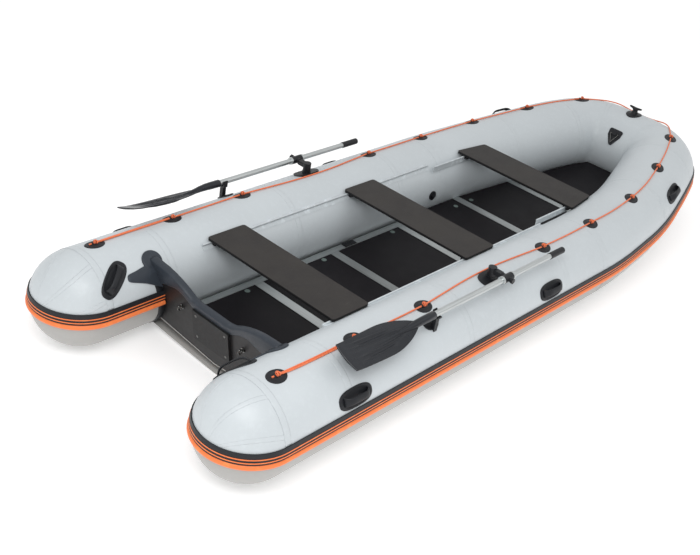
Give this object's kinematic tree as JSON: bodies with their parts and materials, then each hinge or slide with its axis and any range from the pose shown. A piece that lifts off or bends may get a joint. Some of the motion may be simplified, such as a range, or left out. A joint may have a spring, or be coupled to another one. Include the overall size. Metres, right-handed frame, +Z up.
{
  "type": "inflatable dinghy",
  "caption": "Open inflatable boat with a slatted floor, sliding bench seats, transom for an outboard engine and stowed oars in swivelling oarlocks.",
  "frame": {"origin": "middle of the boat's length and beam, on the ground under the tubes", "axes": "+X forward to the bow, +Y to port, +Z up"},
  "size_m": [4.5622, 1.6974, 0.6229],
  "materials": {
    "tube_fabric": "satin coated fabric",
    "hull_fabric": "satin coated fabric",
    "black_rubber": "satin",
    "orange_rubber": "satin",
    "floor_board": "film-faced plywood",
    "aluminium": "anodised",
    "transom_board": "painted plywood",
    "pad_plastic": "fine grain",
    "slate_moulding": "satin",
    "seat_board": "film-faced plywood",
    "stainless": "polished",
    "orange_rope": "braided",
    "cap_plastic": "matte",
    "track_pvc": "satin",
    "black_plastic": "fine grain"
  },
  "bodies": {
    "hull": {"board_caps": "cap_plastic", "bottom_skin": "hull_fabric", "bow_air_chamber": "tube_fabric", "bow_cleat": "black_plastic", "bow_handles": "black_rubber", "bow_ring_patch": "black_rubber", "floor_board_1": "floor_board", "floor_board_2": "floor_board", "floor_board_3": "floor_board", "floor_board_4": "floor_board", "floor_board_5": "floor_board", "floor_board_6": "floor_board", "floor_profiles": "aluminium", "grab_handles": "black_rubber", "inflatable_keel": "hull_fabric", "inner_pad": "pad_plastic", "lifeline": "orange_rope", "lifeline_patches": "black_rubber", "motor_pad": "pad_plastic", "motor_pad_bolts": "stainless", "oar_clip_hooks": "black_plastic", "oar_clips": "black_plastic", "port_air_chamber": "tube_fabric", "port_oarlock_base": "black_plastic", "rub_band": "black_rubber", "rub_bead": "orange_rubber", "rub_stripes": "orange_rubber", "seat_tracks": "track_pvc", "starboard_air_chamber": "tube_fabric", "starboard_oarlock_base": "black_plastic", "stringer_clips": "black_plastic", "stringers": "aluminium", "towing_eyes": "stainless", "transom_board": "transom_board", "transom_cap": "slate_moulding", "transom_holders": "slate_moulding", "transom_seam_strip": "hull_fabric", "valves": "black_plastic"},
    "aft_seat_unit": {"aft_seat": "seat_board", "aft_seat_sliders": "black_plastic"},
    "middle_seat_unit": {"middle_seat": "seat_board", "middle_seat_sliders": "black_plastic"},
    "bow_seat_unit": {"bow_seat": "seat_board", "bow_seat_sliders": "black_plastic"},
    "port_swivel": {"port_oarlock_swivel": "black_plastic"},
    "port_sleeve": {"port_oarlock_sleeve": "black_plastic"},
    "port_knob": {"port_oarlock_knob": "black_plastic"},
    "port_oar": {"port_oar_shaft": "aluminium", "port_oar_grip": "black_plastic", "port_oar_blade": "black_plastic"},
    "starboard_swivel": {"starboard_oarlock_swivel": "black_plastic"},
    "starboard_sleeve": {"starboard_oarlock_sleeve": "black_plastic"},
    "starboard_knob": {"starboard_oarlock_knob": "black_plastic"},
    "starboard_oar": {"starboard_oar_shaft": "aluminium", "starboard_oar_grip": "black_plastic", "starboard_oar_blade": "black_plastic"},
    "bow_ring_body": {"bow_ring": "stainless"},
    "port_side_valve_cap_body": {"port_side_valve_cap": "black_plastic"},
    "starboard_side_valve_cap_body": {"starboard_side_valve_cap": "black_plastic"},
    "bow_valve_cap_body": {"bow_valve_cap": "black_plastic"}
  },
  "joints": [
    {"name": "aft_seat_slide", "type": "slide", "parent": "hull", "child": "aft_seat_unit", "axis": [1, 0, 0], "range_m": [-0.04, 0.36]},
    {"name": "middle_seat_slide", "type": "slide", "parent": "hull", "child": "middle_seat_unit", "axis": [1, 0, 0], "range_m": [-0.36, 0.36]},
    {"name": "bow_seat_slide", "type": "slide", "parent": "hull", "child": "bow_seat_unit", "axis": [1, 0, 0], "range_m": [-0.3, 0]},
    {"name": "port_oar_swing", "type": "hinge", "parent": "hull", "child": "port_swivel", "pos_m": [-0.48464, 0.65688, 0.514], "axis": [0, 0, 1], "range_deg": [-115, 0]},
    {"name": "port_oar_tilt", "type": "hinge", "parent": "port_swivel", "child": "port_sleeve", "pos_m": [-0.48464, 0.721, 0.514], "axis": [0, 1, 0], "range_deg": [0, 6]},
    {"name": "port_knob_turn", "type": "hinge", "parent": "port_sleeve", "child": "port_knob", "pos_m": [-0.48464, 0.777, 0.514], "axis": [0, 1, 0], "continuous": true},
    {"name": "port_oar_feather", "type": "hinge", "parent": "port_sleeve", "child": "port_oar", "pos_m": [-0.48464, 0.747, 0.514], "axis": [1, 0, 0], "range_deg": [-45, 45]},
    {"name": "starboard_oar_swing", "type": "hinge", "parent": "hull", "child": "starboard_swivel", "pos_m": [-0.48464, -0.65688, 0.514], "axis": [0, 0, 1], "range_deg": [0, 115]},
    {"name": "starboard_oar_tilt", "type": "hinge", "parent": "starboard_swivel", "child": "starboard_sleeve", "pos_m": [-0.48464, -0.721, 0.514], "axis": [0, 1, 0], "range_deg": [0, 6]},
    {"name": "starboard_knob_turn", "type": "hinge", "parent": "starboard_sleeve", "child": "starboard_knob", "pos_m": [-0.48464, -0.777, 0.514], "axis": [0, 1, 0], "continuous": true},
    {"name": "starboard_oar_feather", "type": "hinge", "parent": "starboard_sleeve", "child": "starboard_oar", "pos_m": [-0.48464, -0.747, 0.514], "axis": [1, 0, 0], "range_deg": [-45, 45]},
    {"name": "bow_ring_swing", "type": "hinge", "parent": "hull", "child": "bow_ring_body", "pos_m": [1.82013, 0, 0.47012], "axis": [0, 1, 0], "range_deg": [0, 85]},
    {"name": "port_side_cap_turn", "type": "hinge", "parent": "hull", "child": "port_side_valve_cap_body", "pos_m": [0.34836, 0.352, 0.239], "axis": [0, -1, 0], "range_deg": [-90, 0]},
    {"name": "starboard_side_cap_turn", "type": "hinge", "parent": "hull", "child": "starboard_side_valve_cap_body", "pos_m": [0.34836, -0.352, 0.239], "axis": [0, 1, 0], "range_deg": [-90, 0]},
    {"name": "bow_cap_turn", "type": "hinge", "parent": "hull", "child": "bow_valve_cap_body", "pos_m": [0.85603, -0.3266, 0.24731], "axis": [-0.1018, 0.9948, -0.0036], "range_deg": [-90, 0]}
  ]
}
